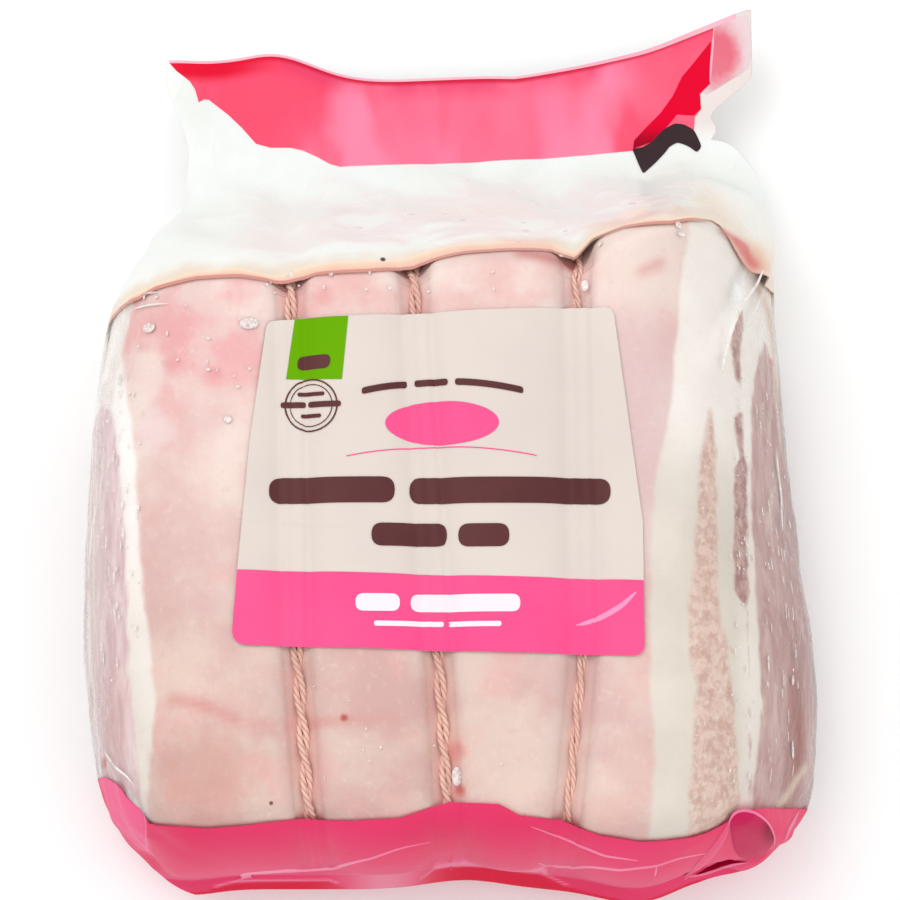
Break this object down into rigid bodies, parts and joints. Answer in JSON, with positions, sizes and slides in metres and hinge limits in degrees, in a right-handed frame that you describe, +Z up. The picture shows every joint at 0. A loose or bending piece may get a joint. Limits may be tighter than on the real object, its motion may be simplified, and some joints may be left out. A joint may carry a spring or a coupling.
{
  "type": "boneless pork shoulder roast",
  "caption": "Boneless pork shoulder roast tied with twine and sealed in a shrunk clear bag with plain printed fields, lying rind side up, with the flat bag collar at its head.",
  "frame": {"origin": "on the rest plane under the middle of the bag's outline", "axes": "+X across the printed face to its right as the picture shows it, +Y from the sealed foot to the open collar, +Z up out of the rind face"},
  "size_m": [0.1942, 0.2442, 0.0805],
  "materials": {
    "bag_skin": "gloss",
    "clear_film": "gloss",
    "rind": "satin",
    "twine": "matte",
    "print_pink": "gloss",
    "print_cream": "satin",
    "print_green": "gloss",
    "print_brown": "satin",
    "print_black": "satin",
    "print_white": "satin"
  },
  "bodies": {
    "root": {"sealed_bag": "bag_skin"}
  },
  "joints": []
}
